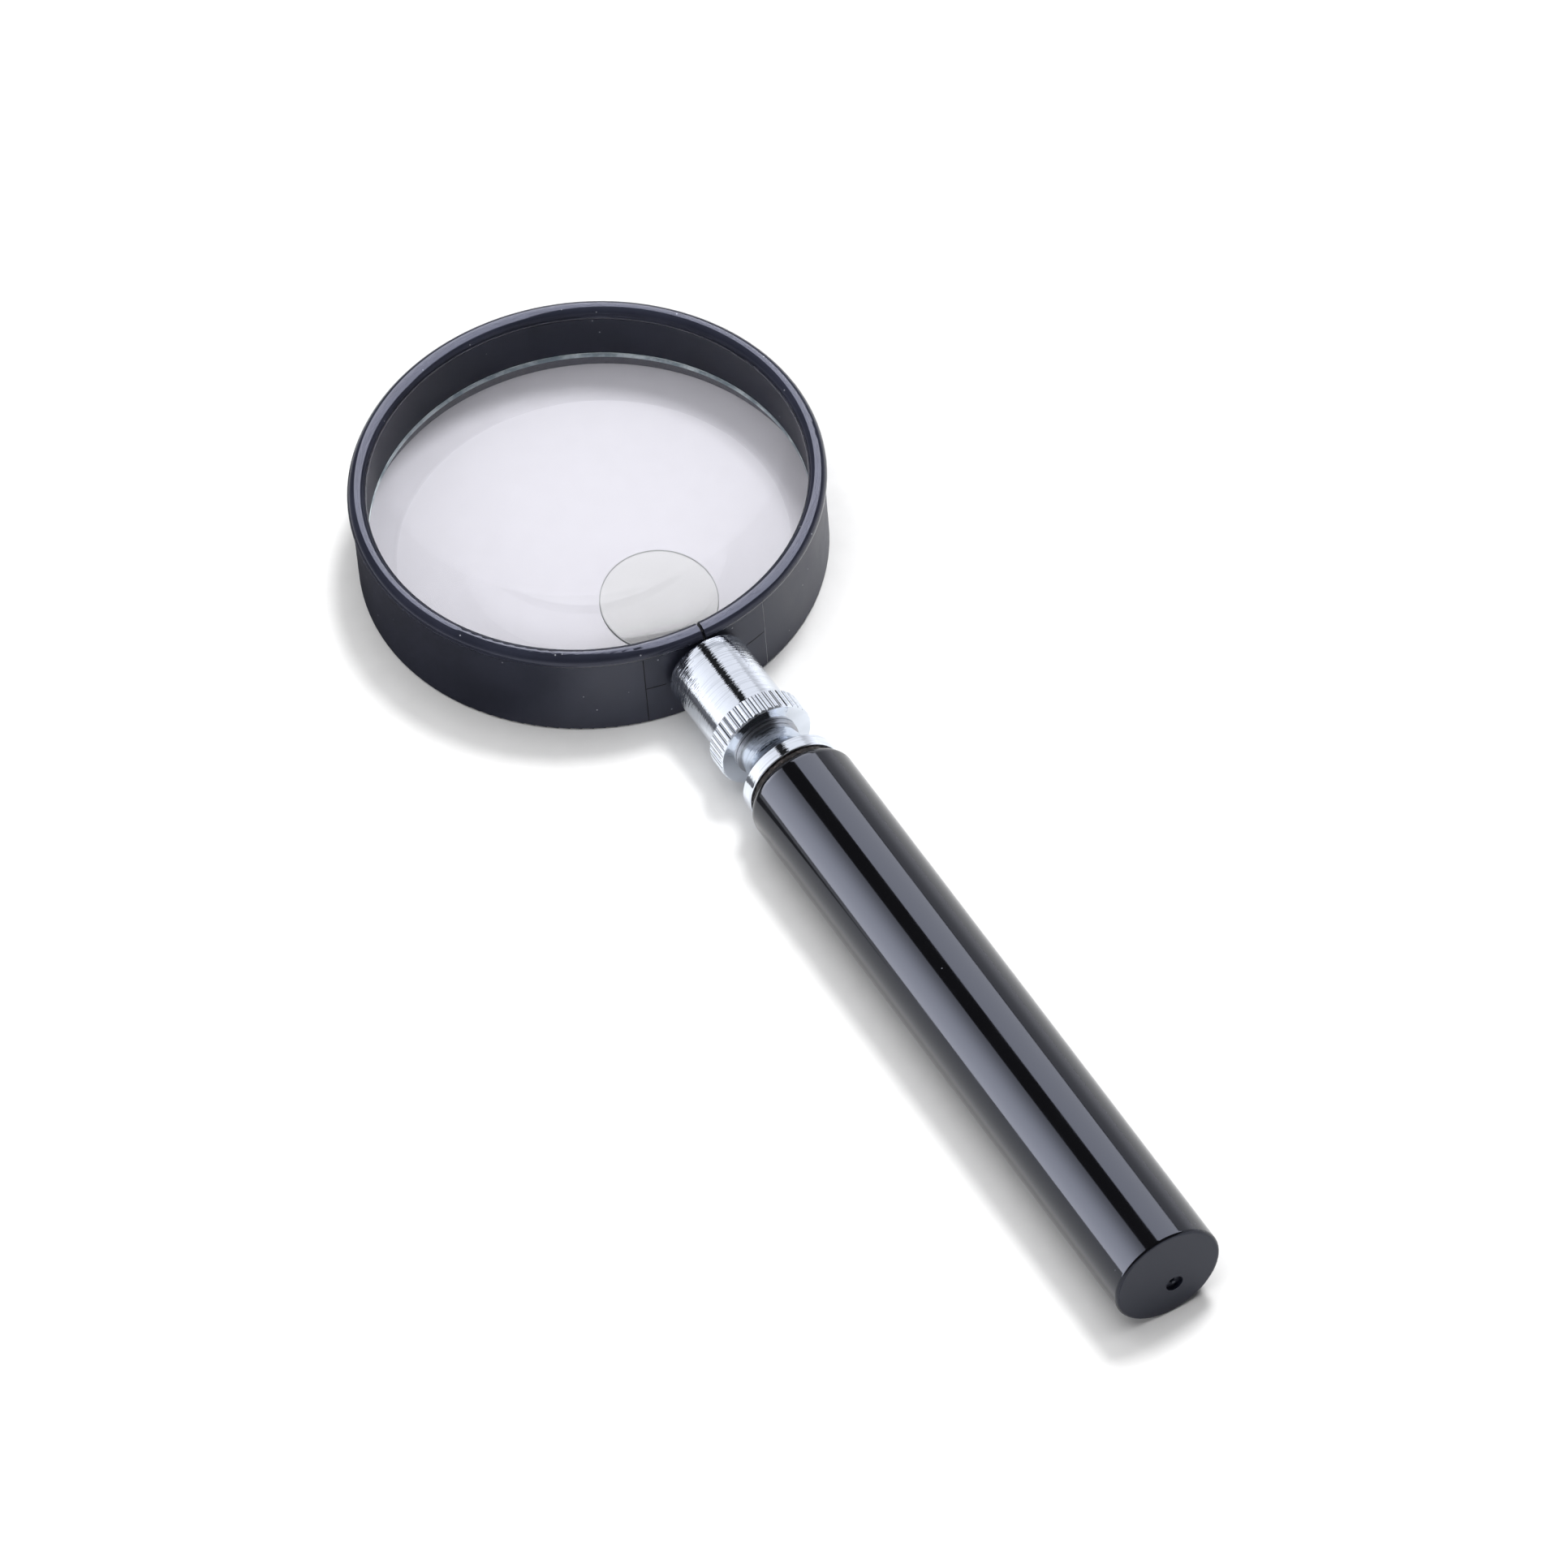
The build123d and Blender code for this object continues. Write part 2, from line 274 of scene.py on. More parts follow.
def dome(surface_r, aperture_r, rim_height, way, count=60):
    """(radius, height) points from a spherical face's middle to its rim; way is 1 for up, -1 for down."""
    middle = rim_height - way * math.sqrt(surface_r**2 - aperture_r**2)
    radii = steps(0, aperture_r, count)
    return [(r, middle + way * math.sqrt(surface_r**2 - r**2)) for r in radii]


def optical_glass(name, tint, shadow_tint, edge, edge_colours):
    """Clear polished glass whose ground edge, where edge(tree) is 1, is frosted in two shades.

    shadow_tint is the light that reaches the sheet under the glass."""
    material, tree, output = new_material(name)
    ground = edge(tree)
    ground_roughness = add(tree, "MapRange", Value=ground, To_Min=0.0, To_Max=0.45).outputs["Result"]
    glass = add(
        tree, "BsdfPrincipled",
        Base_Color=linear(tint), Roughness=ground_roughness, IOR=1.52, Transmission_Weight=1.0,
    )
    place = add(tree, "TexCoord").outputs["Object"]
    chips = add(
        tree, "TexNoise", Vector=place, Scale=1 / FROST_PATCH, Detail=4.0, Roughness=0.7
    ).outputs["Fac"]
    frost_colour = ramp(tree, chips, (0.42, edge_colours[0]), (0.56, edge_colours[1]))
    frost = add(tree, "BsdfPrincipled", Base_Color=frost_colour, Roughness=0.5, IOR=1.52)
    frosted = add(tree, "Math", {"operation": "MULTIPLY"}, in_0=ground, in_1=0.7).outputs[0]
    surface = add(tree, "MixShader", Fac=frosted, in_1=glass.outputs[0], in_2=frost.outputs[0])
    clear = add(tree, "BsdfTransparent", Color=linear(shadow_tint))
    is_shadow = add(tree, "LightPath").outputs["Is Shadow Ray"]
    both = add(tree, "MixShader", Fac=is_shadow, in_1=surface.outputs[0], in_2=clear.outputs[0])
    tree.links.new(both.outputs[0], output.inputs["Surface"])
    return material


def from_axis(tree, place):
    """Distance from the Z axis of the given coordinates."""
    flat = add(tree, "VectorMath", {"operation": "MULTIPLY"}, in_0=place, in_1=(1, 1, 0))
    return add(tree, "VectorMath", {"operation": "LENGTH"}, in_0=flat.outputs["Vector"]).outputs["Value"]


def lens_edge(tree):
    """1 on the ground edge and its bevels, outside the polished faces."""
    radius = from_axis(tree, add(tree, "TexCoord").outputs["Object"])
    seat_r = LENS_R - SEAT_WIDTH
    return add(
        tree, "MapRange", Value=radius, From_Min=seat_r, From_Max=seat_r + SEAT_FADE
    ).outputs["Result"]


# Crown glass is clear with sharp glints, and its ground edge shows as a broken pale line.
lens_glass = optical_glass("polished_crown_glass", "ecebee", "f2f2f5", lens_edge, ("8fa0a8", "eef8fa"))
clear_r = LENS_R - LENS_BEVEL
upper = dome(LENS_SURFACE_R, clear_r, LENS_EDGE / 2, 1)
bevels = [(LENS_R, LENS_EDGE / 2 - LENS_BEVEL), (LENS_R, LENS_BEVEL - LENS_EDGE / 2)]
lower = dome(LENS_SURFACE_R, clear_r, -LENS_EDGE / 2, -1)[::-1]
main_mesh = lathed("main_lens_polished", upper + bevels + lower, Matrix.Translation(LENS_CENTRE))
polished_lens = finish_piece("main_lens_polished", main_mesh, lens_glass, "lens_head")
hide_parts("main_lens")

# ---- Reading segment ----
# Small round lens of higher power, cemented to the upper face with clear optical cement.
# Its rim is a sharp ground edge just under half a millimetre high.
SEGMENT_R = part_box("bifocal_lens")[1].x
SEGMENT_REACH = 18.7 * MM
SEGMENT_SURFACE_R = 34 * MM
SEGMENT_EDGE = 0.45 * MM
SEGMENT_GROUND_WIDTH = 0.14 * MM
SEGMENT_GROUND_FULL = 0.06 * MM
CEMENT = 0.03 * MM
SEGMENT_TILT = math.asin(SEGMENT_REACH / LENS_SURFACE_R)
FACE_CENTRE_Z = LENS_HIGH.z - LENS_SURFACE_R
SEAT = Matrix.Translation((0, 0, FACE_CENTRE_Z)) @ Matrix.Rotation(SEGMENT_TILT, 4, "X")


def segment_edge(tree):
    """1 on the segment's ground cylinder."""
    seated = add(
        tree, "Mapping", {"vector_type": "TEXTURE"},
        Vector=add(tree, "TexCoord").outputs["Object"],
        Location=(0, 0, FACE_CENTRE_Z), Rotation=(SEGMENT_TILT, 0, 0),
    ).outputs["Vector"]
    return add(
        tree, "MapRange", Value=from_axis(tree, seated),
        From_Min=SEGMENT_R - SEGMENT_GROUND_WIDTH, From_Max=SEGMENT_R - SEGMENT_GROUND_FULL,
    ).outputs["Result"]


# The same glass, a little warmer; its edge is ground fine and painted grey as painted shade, so it reads
# as a thin grey line.
segment_glass = optical_glass(
    "cemented_crown_glass", "f9faf6", "f5f5f4", segment_edge, ("5e6061", "85888a")
)
face_rim = math.sqrt(LENS_SURFACE_R**2 - SEGMENT_R**2)
top_face = dome(SEGMENT_SURFACE_R, SEGMENT_R, face_rim + SEGMENT_EDGE, 1, 24)
glued_face = dome(LENS_SURFACE_R + CEMENT, SEGMENT_R, face_rim + CEMENT, 1, 24)[::-1]
segment_mesh = lathed("bifocal_lens_polished", top_face + glued_face, SEAT)
polished_segment = finish_piece(
    "bifocal_lens_polished", segment_mesh, segment_glass, "lens_head"
)
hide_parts("bifocal_lens")

# ---- Clamp ferrule ----
# Turned brass, ribbed by a straight knurling wheel and bright chrome plated. The plate is thin,
# so the lathe's feed marks still show on the sleeve and jag the edges of every reflection.
FERRULE_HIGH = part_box("clamp_ferrule")[1]
HANDLE_AXIS_Z = 7.5 * MM
FEED_PITCH = 0.26 * MM
FEED_LENGTH = 1.6 * MM
FEED_DEPTH = 0.03 * MM
# Painted shade for the feed grooves, laid on the plate in broken rings.
FEED_SHADE = "4c5560"
SHADE_PATCH_LENGTH = 5 * MM
MARKED_TO_Y = FERRULE_HIGH.y - 4 * MM
KNURL_ENDS_Y = (-47.0 * MM, -43.8 * MM)
KNURL_FADE = 0.02 * MM
VALLEY_R = (6.39 * MM, 6.52 * MM)
VALLEY_FADE = 0.03 * MM
# Painted shade for the bottoms of the knurl's valleys.
VALLEY_SHADE = "85888f"
CHROME = "dfe5ee"
CHROME_CLOUD = 2.5 * MM
CHROME_ROUGHNESS = (0.045, 0.081)


def within(tree, value, low, high, soft):
    """1 where value is between low and high, with a short fade at each end."""
    above = add(tree, "MapRange", Value=value, From_Min=low - soft, From_Max=low).outputs["Result"]
    below = add(
        tree, "MapRange", Value=value, From_Min=high, From_Max=high + soft, To_Min=1.0, To_Max=0.0
    ).outputs["Result"]
    return add(tree, "Math", {"operation": "MULTIPLY"}, in_0=above, in_1=below).outputs[0]


def handle_radius(tree, place):
    """Distance from the handle's centre line."""
    offset = add(tree, "VectorMath", {"operation": "SUBTRACT"}, in_0=place, in_1=(0, 0, HANDLE_AXIS_Z))
    flat = add(
        tree, "VectorMath", {"operation": "MULTIPLY"}, in_0=offset.outputs["Vector"], in_1=(1, 0, 1)
    ).outputs["Vector"]
    return add(tree, "VectorMath", {"operation": "LENGTH"}, in_0=flat).outputs["Value"]


def feed_marks(tree, place):
    """Height of the fine rings that the lathe left round the handle line, uneven in depth."""
    around = 1 / FEED_LENGTH
    stretch = add(tree, "Mapping", Vector=place, Scale=(around, 1 / FEED_PITCH, around)).outputs["Vector"]
    return add(tree, "TexNoise", Vector=stretch, Scale=1.0, Detail=2.0, Roughness=0.6).outputs["Fac"]


def feed_shade(tree, place, along):
    """How much painted shade the plate gets in broken rings along the feed marks, most at the rim's end
    of the sleeve.
    """
    turns = add(tree, "Math", {"operation": "MULTIPLY"}, in_0=along, in_1=1 / FEED_PITCH).outputs[0]
    scale = 1 / SHADE_PATCH_LENGTH
    around = add(tree, "Mapping", Vector=place, Scale=(scale, 0, scale)).outputs["Vector"]
    patches = add(
        tree, "TexNoise", {"noise_dimensions": "4D"}, Vector=around, W=turns, Scale=1.0, Detail=1.0
    ).outputs["Fac"]
    shaded_rings = add(tree, "MapRange", Value=patches, From_Min=0.5, From_Max=0.66).outputs["Result"]
    rim_end_share = add(
        tree, "MapRange",
        Value=along, From_Min=MARKED_TO_Y, From_Max=FERRULE_HIGH.y, To_Min=0.15, To_Max=0.75,
    ).outputs["Result"]
    return add(tree, "Math", {"operation": "MULTIPLY"}, in_0=shaded_rings, in_1=rim_end_share).outputs[0]


def valley_shade(tree, place, along):
    """1 in the bottoms of the knurled ring's valleys, where shade is painted on the plate."""
    ribbed = within(tree, along, *KNURL_ENDS_Y, KNURL_FADE)
    deep = within(tree, handle_radius(tree, place), *VALLEY_R, VALLEY_FADE)
    return add(tree, "Math", {"operation": "MULTIPLY"}, in_0=ribbed, in_1=deep).outputs[0]


def chrome_plate(name, knurled):
    """Bright chrome over feed marks, with painted shade in broken rings, and painted shade in the valleys
    where the piece is knurled.
    """
    material, tree, output = new_material(name)
    place = add(tree, "TexCoord").outputs["Object"]
    along = add(tree, "SeparateXYZ", Vector=place).outputs["Y"]
    cloud = add(tree, "TexNoise", Vector=place, Scale=1 / CHROME_CLOUD, Detail=3.0).outputs["Fac"]
    sheen = add(
        tree, "MapRange",
        Value=cloud, From_Min=0.3, From_Max=0.7, To_Min=CHROME_ROUGHNESS[0], To_Max=CHROME_ROUGHNESS[1],
    ).outputs["Result"]
    marked = add(tree, "Bump", Height=feed_marks(tree, place), Strength=1.0, Distance=FEED_DEPTH)
    # The plate is darkened in broken rings as painted shade for the feed grooves.
    plate_colour = add(
        tree, "Mix", {"data_type": "RGBA"},
        in_0=feed_shade(tree, place, along), in_6=linear(CHROME), in_7=linear(FEED_SHADE),
    ).outputs[2]
    # Knurled pieces also get painted shade in their valleys.
    if knurled:
        plate_colour = add(
            tree, "Mix", {"data_type": "RGBA"},
            in_0=valley_shade(tree, place, along), in_6=plate_colour, in_7=linear(VALLEY_SHADE),
        ).outputs[2]
    plate = add(
        tree, "BsdfPrincipled",
        Base_Color=plate_colour, Metallic=1.0, Roughness=sheen, Normal=marked.outputs["Normal"],
    )
    tree.links.new(plate.outputs["BSDF"], output.inputs["Surface"])
    return material


# Chrome mirrors the studio in hard light and dark streaks, which the feed marks break up.
coat(nodes["clamp_ferrule"], chrome_plate("chromed_turned_brass", True))

# ---- Thrust washer ----
# Plain washer between the ferrule's flange and the neck, so that the ferrule can be screwed up
# without dragging the handle round. Stamped from rolled stainless strip; only its rim shows.
WASHER_STROKE_WIDTH = 0.1 * MM
WASHER_STROKE_LENGTH = 2 * MM
# Rolled steel is a duller grey than the chrome beside it, streaked one way by the rollers.
washer_steel, tree, output = new_material("rolled_stainless_steel")
place = add(tree, "TexCoord").outputs["Object"]
fine = 1 / WASHER_STROKE_WIDTH
strokes = add(tree, "Mapping", Vector=place, Scale=(fine, fine, 1 / WASHER_STROKE_LENGTH))
rolled = add(tree, "TexNoise", Vector=strokes.outputs["Vector"], Scale=1.0, Detail=2.0).outputs["Fac"]
uneven = add(tree, "MapRange", Value=rolled, To_Min=0.22, To_Max=0.4).outputs["Result"]
steel = add(tree, "BsdfPrincipled", Base_Color=linear("b9bbc0"), Metallic=1.0, Roughness=uneven)
tree.links.new(steel.outputs["BSDF"], output.inputs["Surface"])
coat(nodes["thrust_washer"], washer_steel)

# ---- Neck ----
# Turned brass with a coved waist and a square collar. It is chrome plated like the ferrule, and the
# same fine feed marks show through the plate, with the same painted shade in broken rings. It has no
# knurl, so it gets no painted valley shade.
coat(nodes["neck"], chrome_plate("chromed_form_turned_brass", False))

# ---- Neck screw ----
# Zinc-plated steel cheese-head screw in the end of the neck's spigot, hidden inside the ferrule.
# Its head keeps the ferrule on the spigot and lets it turn.
SPANGLE = 0.35 * MM
# Zinc plate is dull and patchy, with no clear reflections.
screw_steel, tree, output = new_material("zinc_plated_steel")
place = add(tree, "TexCoord").outputs["Object"]
spangle = add(tree, "TexVoronoi", Vector=place, Scale=1 / SPANGLE).outputs["Distance"]
patchy = add(tree, "MapRange", Value=spangle, To_Min=0.25, To_Max=0.45).outputs["Result"]
zinc = add(tree, "BsdfPrincipled", Base_Color=linear("b4b8bd"), Metallic=1.0, Roughness=patchy)
tree.links.new(zinc.outputs["BSDF"], output.inputs["Surface"])
coat(nodes["neck_screw"], screw_steel)

# ---- Adhesive ring ----
# Epoxy squeezed out between collar and grip and left to cure. It stands a little inside their
# outline, lumpy all round, with rounded edges.
GLUE_LOW, GLUE_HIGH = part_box("adhesive_ring")
GLUE_R = GLUE_HIGH.x
GLUE_INNER_R = 4.6 * MM
GLUE_SHY = 0.08 * MM
GLUE_EDGE_DROP = 0.35 * MM
GLUE_SWELL = 0.16 * MM
GLUE_LUMPS_ROUND = 9
GLUE_LUMPS_ACROSS = 1.5
GLUE_BLOTCH = 0.32 * MM
GLUE_LUMP_DEPTH = 0.12 * MM
GLUE_PROFILE = ((0, 0.5), (0.12, 0.1), (0.35, 0), (0.65, 0), (0.88, 0.1), (1, 0.5))
# Cured epoxy is brown-black and half matt, mottled with a few pale crumbs.
cured_epoxy, tree, output = new_material("cured_brown_epoxy")
place = add(tree, "TexCoord").outputs["Object"]
blotches = add(
    tree, "TexNoise", Vector=place, Scale=1 / GLUE_BLOTCH, Detail=4.0, Roughness=0.75
).outputs["Fac"]
glue_colour = ramp(tree, blotches, (0.4, "040404"), (0.52, "171211"), (0.62, "332b29"), (0.72, "9a9492"))
lumps = add(tree, "Bump", Height=blotches, Strength=1.0, Distance=GLUE_LUMP_DEPTH).outputs["Normal"]
epoxy = add(tree, "BsdfPrincipled", Base_Color=glue_colour, Roughness=0.38, IOR=1.5, Normal=lumps)
tree.links.new(epoxy.outputs["BSDF"], output.inputs["Surface"])


def squeezed_section(angle):
    """Points round the ring's section at one angle, over its lumpy outside and back along its bore."""
    around = Vector((math.cos(angle), math.sin(angle), 0)) * GLUE_LUMPS_ROUND
    points = []
    for share, drop in GLUE_PROFILE:
        y = GLUE_LOW.y + share * (GLUE_HIGH.y - GLUE_LOW.y)
        swell = min(noise.noise(around + Vector((0, 0, share * GLUE_LUMPS_ACROSS))), 0.5)
        points.append((GLUE_R - drop * GLUE_EDGE_DROP - GLUE_SHY + GLUE_SWELL * swell, y))
    points += [(GLUE_INNER_R, GLUE_HIGH.y), (GLUE_INNER_R, GLUE_LOW.y)]
    return [(r * math.sin(angle), y, HANDLE_AXIS_Z + r * math.cos(angle)) for r, y in points]


shape = bmesh.new()
rows = [[shape.verts.new(point) for point in squeezed_section(math.radians(i))] for i in range(360)]
for row, next_row in zip(rows, rows[1:] + rows[:1]):
    for i in range(len(row)):
        j = (i + 1) % len(row)
        shape.faces.new((row[i], row[j], next_row[j], next_row[i]))
glue_mesh = finish_mesh(shape, bpy.data.meshes.new("adhesive_squeeze"))
glue = finish_piece("adhesive_squeeze", glue_mesh, cured_epoxy, "handle")
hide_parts("adhesive_ring")

# ---- Handle grip ----
# Moulded in black phenolic and buffed to a high gloss; the butt was faced off and left satin,
# and so was the small dish of the gate mark in it.
GRIP_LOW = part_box("handle_grip")[0]
FACED_TO_Y = (GRIP_LOW.y + 0.02 * MM, GRIP_LOW.y + 0.12 * MM)
GATE_DEPTH = 0.65 * MM
GATE_REACH = 4.2 * MM
GATE_FADE = 0.05 * MM
GRIP_SMEAR = 6 * MM
GRIP_ROUGHNESS = (0.06, 0.1)
BUTT_ROUGHNESS = 0.5
MOTE_SPACING = 4 * MM
MOTE_CORE = 0.015
MOTE_EDGE = 0.03
# Buffed phenolic mirrors the softboxes as long clean streaks, with faint smears and a few motes.
grip_phenolic, tree, output = new_material("buffed_black_phenolic")
place = add(tree, "TexCoord").outputs["Object"]
reach = add(tree, "SeparateXYZ", Vector=place).outputs["Y"]
faced = add(
    tree, "MapRange",
    Value=reach, From_Min=FACED_TO_Y[0], From_Max=FACED_TO_Y[1], To_Min=1.0, To_Max=0.0,
).outputs["Result"]
gate_deep = within(tree, reach, GRIP_LOW.y, GRIP_LOW.y + GATE_DEPTH, GATE_FADE)
gate_wide = within(tree, handle_radius(tree, place), 0.0, GATE_REACH, GATE_FADE)
in_gate = add(tree, "Math", {"operation": "MULTIPLY"}, in_0=gate_deep, in_1=gate_wide).outputs[0]
on_butt = add(tree, "Math", {"operation": "MAXIMUM"}, in_0=faced, in_1=in_gate).outputs[0]
smears = add(tree, "TexNoise", Vector=place, Scale=1 / GRIP_SMEAR, Detail=3.0).outputs["Fac"]
gloss = add(
    tree, "MapRange",
    Value=smears, From_Min=0.3, From_Max=0.7, To_Min=GRIP_ROUGHNESS[0], To_Max=GRIP_ROUGHNESS[1],
).outputs["Result"]
finish_of = add(tree, "Mix", in_0=on_butt, in_2=gloss, in_3=BUTT_ROUGHNESS).outputs[0]
motes = add(tree, "TexVoronoi", Vector=place, Scale=1 / MOTE_SPACING).outputs["Distance"]
mote = add(
    tree, "MapRange", Value=motes, From_Min=MOTE_CORE, From_Max=MOTE_EDGE, To_Min=1.0, To_Max=0.0
).outputs["Result"]
black_colour = ramp(tree, on_butt, (0, "0b0b0d"), (1, "12141f"))
grip_colour = add(
    tree, "Mix", {"data_type": "RGBA"}, in_0=mote, in_6=black_colour, in_7=linear("5c5e66")
).outputs[2]
phenolic = add(
    tree, "BsdfPrincipled",
    Base_Color=grip_colour, Roughness=finish_of, IOR=1.52, Specular_Tint=linear("d8dff4"),
)
tree.links.new(phenolic.outputs["BSDF"], output.inputs["Surface"])
coat(nodes["handle_grip"], grip_phenolic)

# ---- Floor and studio ----
# A plain pale sheet under the object, a soft key from the upper right that throws the shadow, and two
# fills. Glowing panels stand where each material mirrors them; each shows only in its own pieces.
FLOOR_HALF = 3.0
FLOOR_Z = -0.02 * MM
PAPER_FIBRE = 3 * MM
MIRRORED_Y = 0.917
PANEL_RISE = 0.55
PANEL_FADE = 0.8
PANEL_FAR_SHARE = 0.3


def flat_sheet(name, x_ends, y_ends, height, material):
    """Level rectangle that belongs to the set."""
    (left, right), (front, back) = x_ends, y_ends
    corners = [(left, front, 0), (right, front, 0), (right, back, 0), (left, back, 0)]
    mesh = bpy.data.meshes.new(name)
    mesh.from_pydata(corners, [], [(0, 1, 2, 3)])
    mesh.materials.append(material)
    sheet = bpy.data.objects.new(name, mesh)
    bpy.context.scene.collection.objects.link(sheet)
    sheet.location.z = height
    return sheet


# Matt paper takes the shadow softly and mirrors nothing.
pale_paper, tree, output = new_material("pale_seamless_paper")
place = add(tree, "TexCoord").outputs["Object"]
fibres = add(tree, "TexNoise", Vector=place, Scale=1 / PAPER_FIBRE, Detail=3.0).outputs["Fac"]
paper_colour = ramp(tree, fibres, (0.3, "e8e8e8"), (0.7, "ebebeb"))
paper = add(tree, "BsdfDiffuse", Color=paper_colour)
tree.links.new(paper.outputs[0], output.inputs["Surface"])
flat_sheet("floor", (-FLOOR_HALF, FLOOR_HALF), (-FLOOR_HALF, FLOOR_HALF), FLOOR_Z, pale_paper)


def diffuser(name, strength, fall):
    """Glowing cloth that rises from fall at its near edge to full strength and fades at its far edge.

    An even panel, with a fall of 1, does not fade. All of them are clear to what is behind them."""
    material, tree, output = new_material(name)
    across = add(tree, "SeparateXYZ", Vector=add(tree, "TexCoord").outputs["UV"]).outputs["X"]
    rising = add(
        tree, "MapRange", {"interpolation_type": "SMOOTHSTEP"},
        Value=across, From_Max=PANEL_RISE, To_Min=strength * fall, To_Max=strength,
    ).outputs["Result"]
    fading = add(
        tree, "MapRange", {"interpolation_type": "SMOOTHSTEP"},
        Value=across, From_Min=PANEL_FADE, To_Min=1.0, To_Max=PANEL_FAR_SHARE if fall < 1 else 1.0,
    ).outputs["Result"]
    level = add(tree, "Math", {"operation": "MULTIPLY"}, in_0=rising, in_1=fading).outputs[0]
    glow = add(tree, "Emission", Color=linear("f9f9fd"), Strength=level)
    through = add(tree, "BsdfTransparent", Color=linear("ffffff"))
    both = add(tree, "AddShader", in_0=glow.outputs[0], in_1=through.outputs[0])
    tree.links.new(both.outputs[0], output.inputs["Surface"])
    return material


def softbox(name, near, far, y_from, y_to, strength, fall, pieces, distance, lean=0.0):
    """Long glowing panel that only the given pieces mirror.

    near and far are its edges in degrees from straight up, as seen where the gloss mirrors it. fall is
    the brightness at its near edge as a share of the rest. lean turns that edge, in degrees a metre."""
    corners = []
    for edge, tilt, y in ((near, lean, y_from), (far, 0, y_from), (far, 0, y_to), (near, lean, y_to)):
        angle = math.radians(edge + tilt * (y - MIRRORED_Y))
        corners.append((math.sin(angle) * distance, y, math.cos(angle) * distance))
    mesh = bpy.data.meshes.new(name)
    mesh.from_pydata(corners, [], [(0, 1, 2, 3)])
    mesh.materials.append(diffuser(name + "_diffuser", strength, fall))
    layer = mesh.uv_layers.new(name="UVMap")
    for loop, uv in zip(layer.data, ((0, 0), (1, 0), (1, 1), (0, 1))):
        loop.uv = uv
    panel = bpy.data.objects.new(name, mesh)
    bpy.context.scene.collection.objects.link(panel)
    lit = bpy.data.collections.new(name + "_lights")
    for piece in pieces:
        lit.objects.link(piece)
    panel.light_linking.receiver_collection = lit
    panel.visible_diffuse = False
    panel.visible_camera = False
    panel.visible_shadow = False


glossy_black = [nodes["handle_grip"]]
satin_black = [nodes["lens_rim"]]
clear_glass = [polished_lens, polished_segment]
bright_metal = [nodes[name] for name in ("clamp_ferrule", "neck", "thrust_washer", "neck_screw")] + [glue]
softbox("grip_softbox_left", -24, -103, -0.1, 2.2, 6.3, 0.33, glossy_black, 1.30)
softbox("grip_softbox_right", 4, 51, -0.1, 2.2, 4.4, 1.0, glossy_black, 1.31)
softbox("grip_card_right", 52.5, 125, -1.6, 2.2, 0.85, 1.0, glossy_black, 1.32)
softbox("metal_softbox_left", -8, -96, -0.1, 2.2, 1.3, 0.75, bright_metal, 1.33, 12.0)
softbox("metal_softbox_right", 15, 55, -0.1, 2.2, 1.03, 1.0, bright_metal, 1.34, 25.0)
softbox("metal_card_right", 55, 125, -1.0, 2.2, 0.72, 1.0, bright_metal, 1.35)
softbox("metal_card_left", -90, -125, -1.0, 2.2, 0.6, 1.0, bright_metal, 1.36)
softbox("metal_card_front", -75, 75, -2.2, -0.5, 0.22, 1.0, bright_metal, 1.39)
softbox("rim_softbox", 2, 55, -0.7, 2.2, 6.5, 1.0, satin_black, 1.37)
softbox("glass_dome", -65, 80, -1.6, 2.4, 1.1, 1.0, clear_glass, 1.38)

# A dark filter on the sheet left of the rim, seen only in reflections, is painted shade on the floor: it
# dims only what the rim's wall mirrors from there.
SHADE_SHEET_X = (-90 * MM, -14 * MM)
SHADE_SHEET_Y = (-36 * MM, 60 * MM)
SHADE_SHEET_Z = 0.02 * MM
SHADE_FAINT_X = -17 * MM
SHADE_DEEP_X = -27 * MM
painted_floor_shade, tree, output = new_material("painted_floor_shade")
leftward = add(tree, "SeparateXYZ", Vector=add(tree, "TexCoord").outputs["Object"]).outputs["X"]
shade_depth = add(
    tree, "MapRange", {"interpolation_type": "SMOOTHSTEP"},
    Value=leftward, From_Min=SHADE_FAINT_X, From_Max=SHADE_DEEP_X,
).outputs["Result"]
# Painted shade, deeper further to the left.
shade_tint = ramp(tree, shade_depth, (0, "ffffff"), (1, "68686c"))
shade_filter = add(tree, "BsdfTransparent", Color=shade_tint)
tree.links.new(shade_filter.outputs[0], output.inputs["Surface"])
floor_shade_sheet = flat_sheet("reflected_floor_shade", SHADE_SHEET_X, SHADE_SHEET_Y, SHADE_SHEET_Z, painted_floor_shade)
floor_shade_sheet.visible_camera = False
floor_shade_sheet.visible_diffuse = False
floor_shade_sheet.visible_transmission = False
floor_shade_sheet.visible_shadow = False


def area_light(name, azimuth, elevation, distance, size, power):
    """Soft light aimed at the lens; azimuth 0 is over the handle and 90 to its right."""
    a = math.radians(azimuth)
    e = math.radians(elevation)
    away = Vector((math.sin(a) * math.cos(e), -math.cos(a) * math.cos(e), math.sin(e)))
    data = bpy.data.lights.new(name, "AREA")
    data.shape = "DISK"
    data.size = size
    data.energy = power
    light = bpy.data.objects.new(name, data)
    bpy.context.scene.collection.objects.link(light)
    light.location = away * distance
    light.rotation_mode = "QUATERNION"
    light.rotation_quaternion = away.to_track_quat("Z", "Y")
    light.visible_glossy = False
    light.visible_transmission = False
    light.visible_camera = False


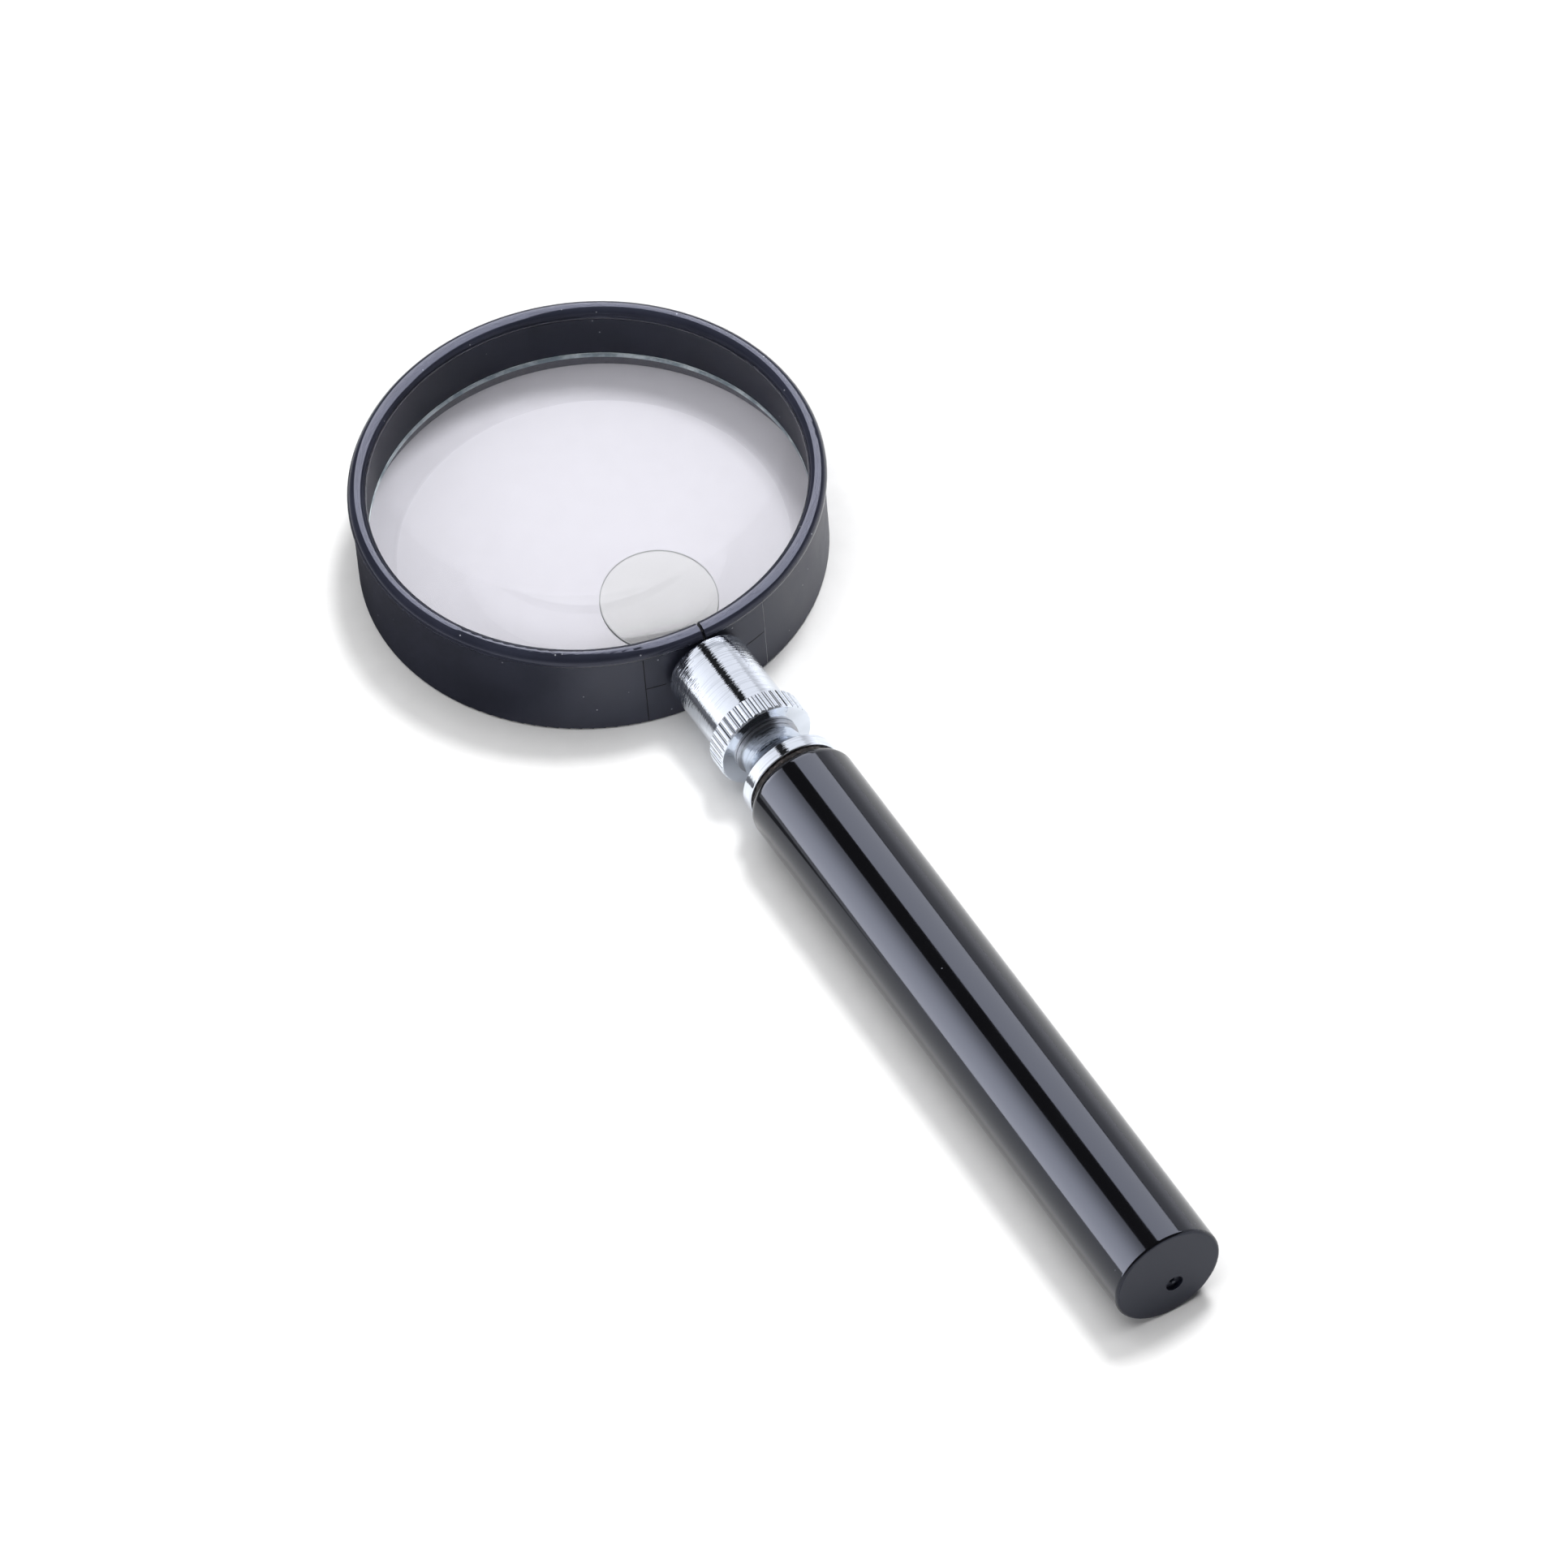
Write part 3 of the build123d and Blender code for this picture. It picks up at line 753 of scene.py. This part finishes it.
area_light("key_upper_right", 120, 66, 2.0, 0.5, 26)
area_light("fill_overhead", 180, 85, 2.4, 3.0, 60)
area_light("fill_left", -75, 30, 2.0, 1.2, 11)

# The studio is dark overhead and pale low down, where its walls meet the sheet.
WALL_FOOT = 0.05
WALL_TOP = 0.4
WALL_GLOW = 0.6
CEILING_GLOW = 0.02
world = bpy.data.worlds.new("studio")
bpy.context.scene.world = world
world.use_nodes = True
tree = world.node_tree
tree.nodes.clear()
output = tree.nodes.new("ShaderNodeOutputWorld")
rise = add(tree, "SeparateXYZ", Vector=add(tree, "TexCoord").outputs["Generated"]).outputs["Z"]
glow = add(
    tree, "MapRange", {"interpolation_type": "SMOOTHSTEP"},
    Value=rise, From_Min=WALL_FOOT, From_Max=WALL_TOP, To_Min=WALL_GLOW, To_Max=CEILING_GLOW,
).outputs["Result"]
studio = add(tree, "Background", Color=linear("f6f6fb"), Strength=glow)
tree.links.new(studio.outputs[0], output.inputs["Surface"])
bpy.context.scene.view_settings.view_transform = "Standard"

# ---- Camera ----
# A long lens from over the handle's left side, aimed at the middle of the object.
CAMERA_AZIMUTH = math.radians(-25.705)
CAMERA_ELEVATION = math.radians(50.275)
CAMERA_ROLL = math.radians(5.044)
CAMERA_DISTANCE = 1.5534
CAMERA_AIM = Vector((-0.00133, -0.054, 0.0075))
FOCAL_LENGTH = 277.2
SENSOR_WIDTH = 36
lens_data = bpy.data.cameras.new("camera")
lens_data.sensor_width = SENSOR_WIDTH
lens_data.lens = FOCAL_LENGTH
camera = bpy.data.objects.new("camera", lens_data)
bpy.context.scene.collection.objects.link(camera)
towards = Vector((
    math.sin(CAMERA_AZIMUTH) * math.cos(CAMERA_ELEVATION),
    -math.cos(CAMERA_AZIMUTH) * math.cos(CAMERA_ELEVATION),
    math.sin(CAMERA_ELEVATION),
))
camera.location = CAMERA_AIM + towards * CAMERA_DISTANCE
upright = towards.to_track_quat("Z", "Y").to_matrix().to_4x4()
rolled = Matrix.Rotation(-CAMERA_ROLL, 4, "Z")
camera.matrix_world = Matrix.Translation(camera.location) @ upright @ rolled
bpy.context.scene.camera = camera
